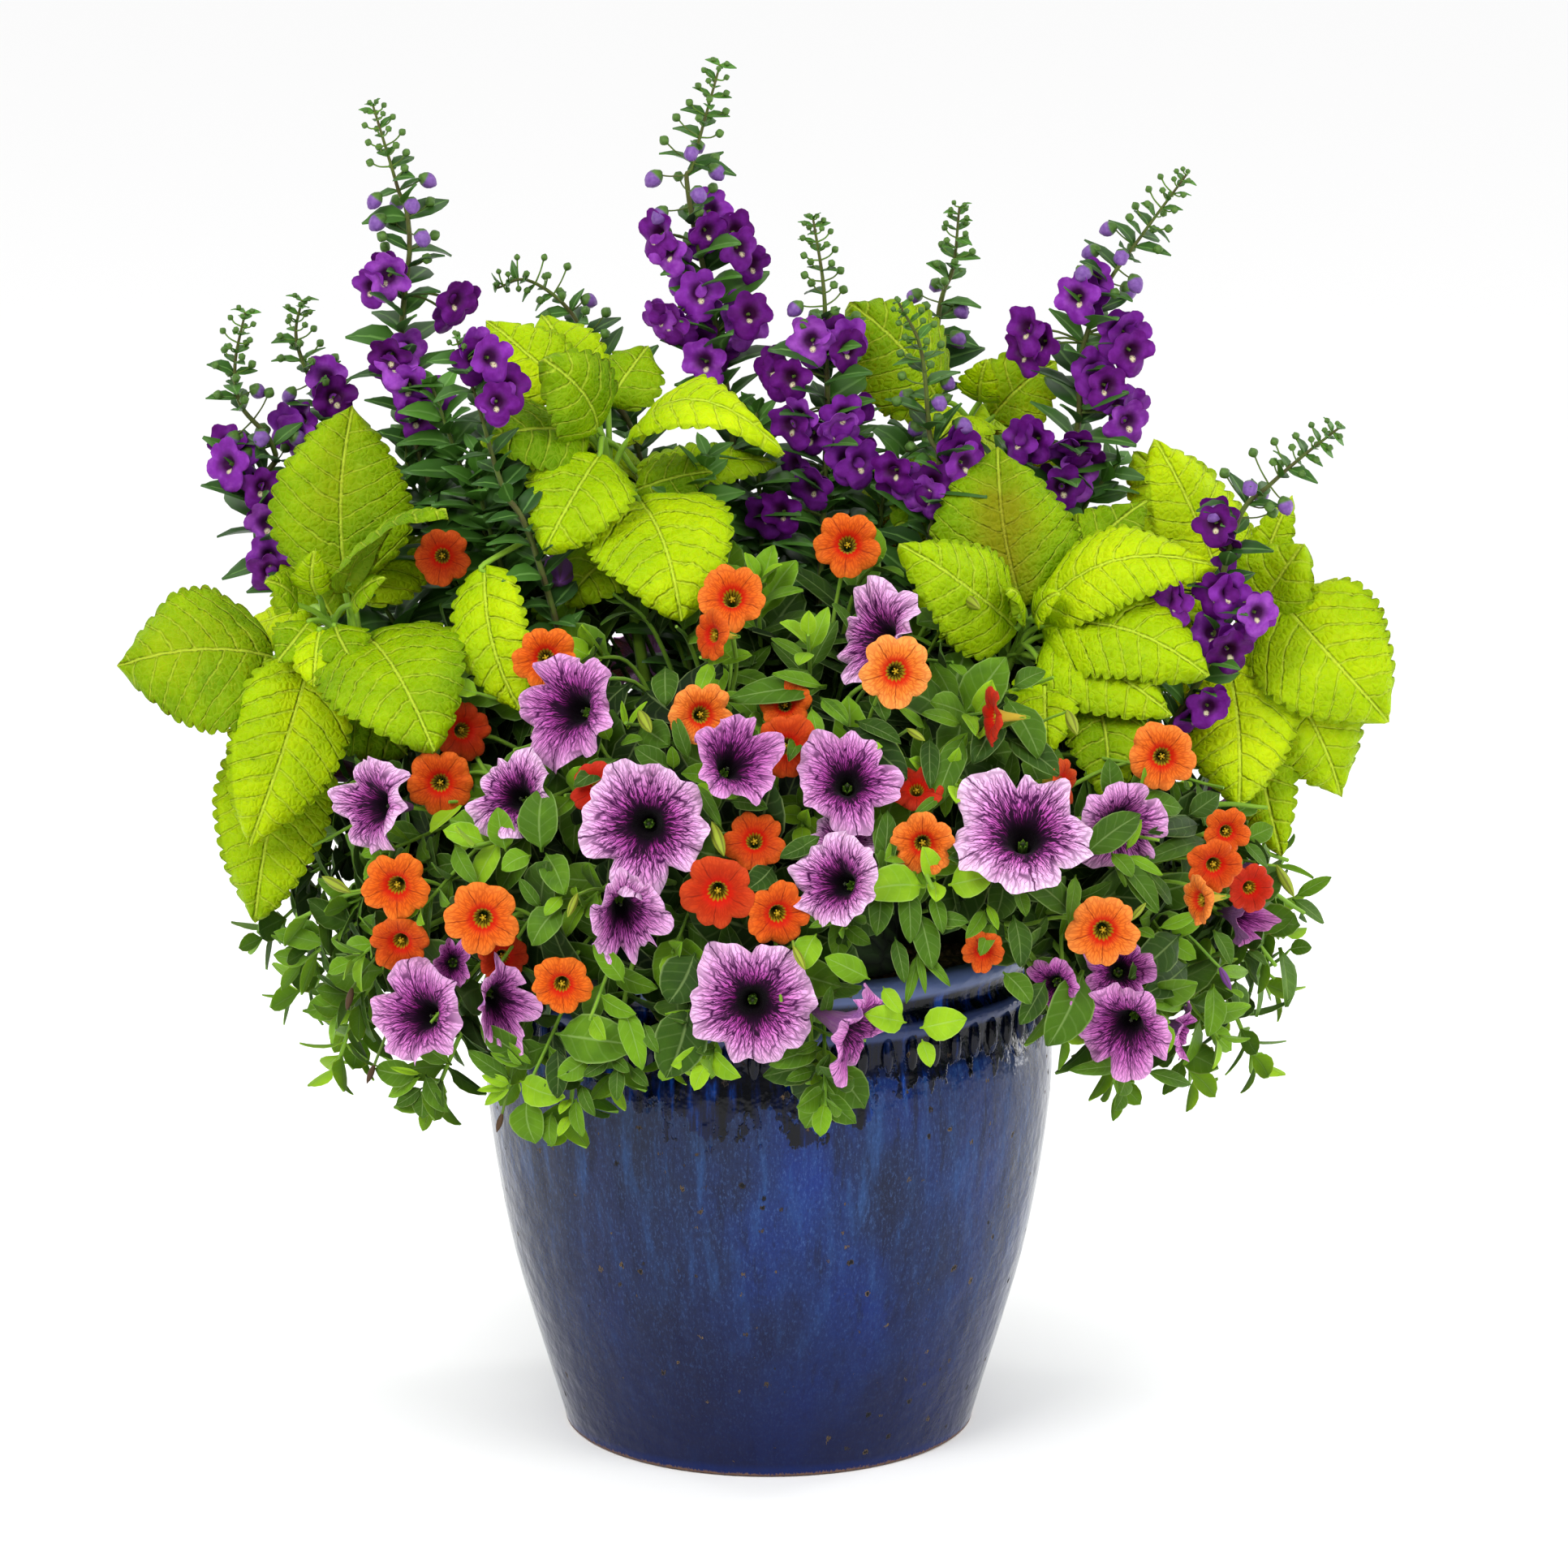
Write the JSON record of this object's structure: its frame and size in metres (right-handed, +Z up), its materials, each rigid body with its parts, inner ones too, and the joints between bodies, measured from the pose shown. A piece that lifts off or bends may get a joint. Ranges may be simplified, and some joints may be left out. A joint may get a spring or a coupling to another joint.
{
  "type": "planted flower pot",
  "caption": "Round glazed pot with a beaded neck, planted with orange trumpet blooms, veined purple petunias, tall purple spikes, lime coleus and trailing foliage.",
  "frame": {"origin": "middle of the flat foot of the pot, on the surface that the pot stands on", "axes": "+Z up through the middle of the pot; -Y towards the front, where most blooms face; +X to the right seen from the front"},
  "size_m": [0.6162, 0.4583, 0.6774],
  "materials": {
    "pot_glaze": "gloss",
    "soil": "matte",
    "calibrachoa_petal": "satin",
    "petunia_petal": "satin",
    "angelonia_flower": "satin",
    "coleus_leaf": "satin",
    "trailing_leaf": "satin"
  },
  "bodies": {
    "root": {"petunia_spray_1": "petunia_petal", "petunia_spray_2": "petunia_petal", "petunia_spray_3": "petunia_petal", "petunia_spray_4": "petunia_petal", "petunia_spray_5": "petunia_petal", "petunia_spray_6": "petunia_petal", "petunia_spray_7": "petunia_petal", "petunia_spray_8": "petunia_petal", "petunia_spray_9": "petunia_petal", "petunia_spray_10": "petunia_petal", "petunia_spray_11": "petunia_petal", "petunia_spray_12": "petunia_petal", "petunia_spray_13": "petunia_petal", "petunia_spray_14": "petunia_petal", "calibrachoa_spray_1": "calibrachoa_petal", "calibrachoa_spray_2": "calibrachoa_petal", "calibrachoa_spray_3": "calibrachoa_petal", "calibrachoa_spray_4": "calibrachoa_petal", "calibrachoa_spray_5": "calibrachoa_petal", "calibrachoa_spray_6": "calibrachoa_petal", "calibrachoa_spray_7": "calibrachoa_petal", "calibrachoa_spray_8": "calibrachoa_petal", "calibrachoa_spray_9": "calibrachoa_petal", "calibrachoa_spray_10": "calibrachoa_petal", "calibrachoa_spray_11": "calibrachoa_petal", "calibrachoa_spray_12": "calibrachoa_petal", "calibrachoa_spray_13": "calibrachoa_petal", "calibrachoa_spray_14": "calibrachoa_petal", "calibrachoa_spray_15": "calibrachoa_petal", "calibrachoa_spray_16": "calibrachoa_petal", "calibrachoa_spray_17": "calibrachoa_petal", "calibrachoa_spray_18": "calibrachoa_petal", "calibrachoa_spray_19": "calibrachoa_petal", "calibrachoa_spray_20": "calibrachoa_petal", "coleus_left": "coleus_leaf", "coleus_centre_left": "coleus_leaf", "coleus_right": "coleus_leaf", "coleus_far_right": "coleus_leaf", "coleus_back": "coleus_leaf", "angelonia_spike_1": "angelonia_flower", "angelonia_spike_2": "angelonia_flower", "angelonia_spike_3": "angelonia_flower", "angelonia_spike_4": "angelonia_flower", "angelonia_spike_5": "angelonia_flower", "angelonia_spike_6": "angelonia_flower", "angelonia_spike_7": "angelonia_flower", "angelonia_spike_8": "angelonia_flower", "angelonia_spike_9": "angelonia_flower", "angelonia_spike_10": "angelonia_flower", "angelonia_spike_11": "angelonia_flower", "glazed_pot": "pot_glaze", "potting_soil": "soil", "trailing_foliage_1": "trailing_leaf", "trailing_foliage_2": "trailing_leaf", "trailing_foliage_3": "trailing_leaf", "trailing_foliage_4": "trailing_leaf", "trailing_foliage_5": "trailing_leaf", "trailing_foliage_6": "trailing_leaf"}
  },
  "joints": []
}
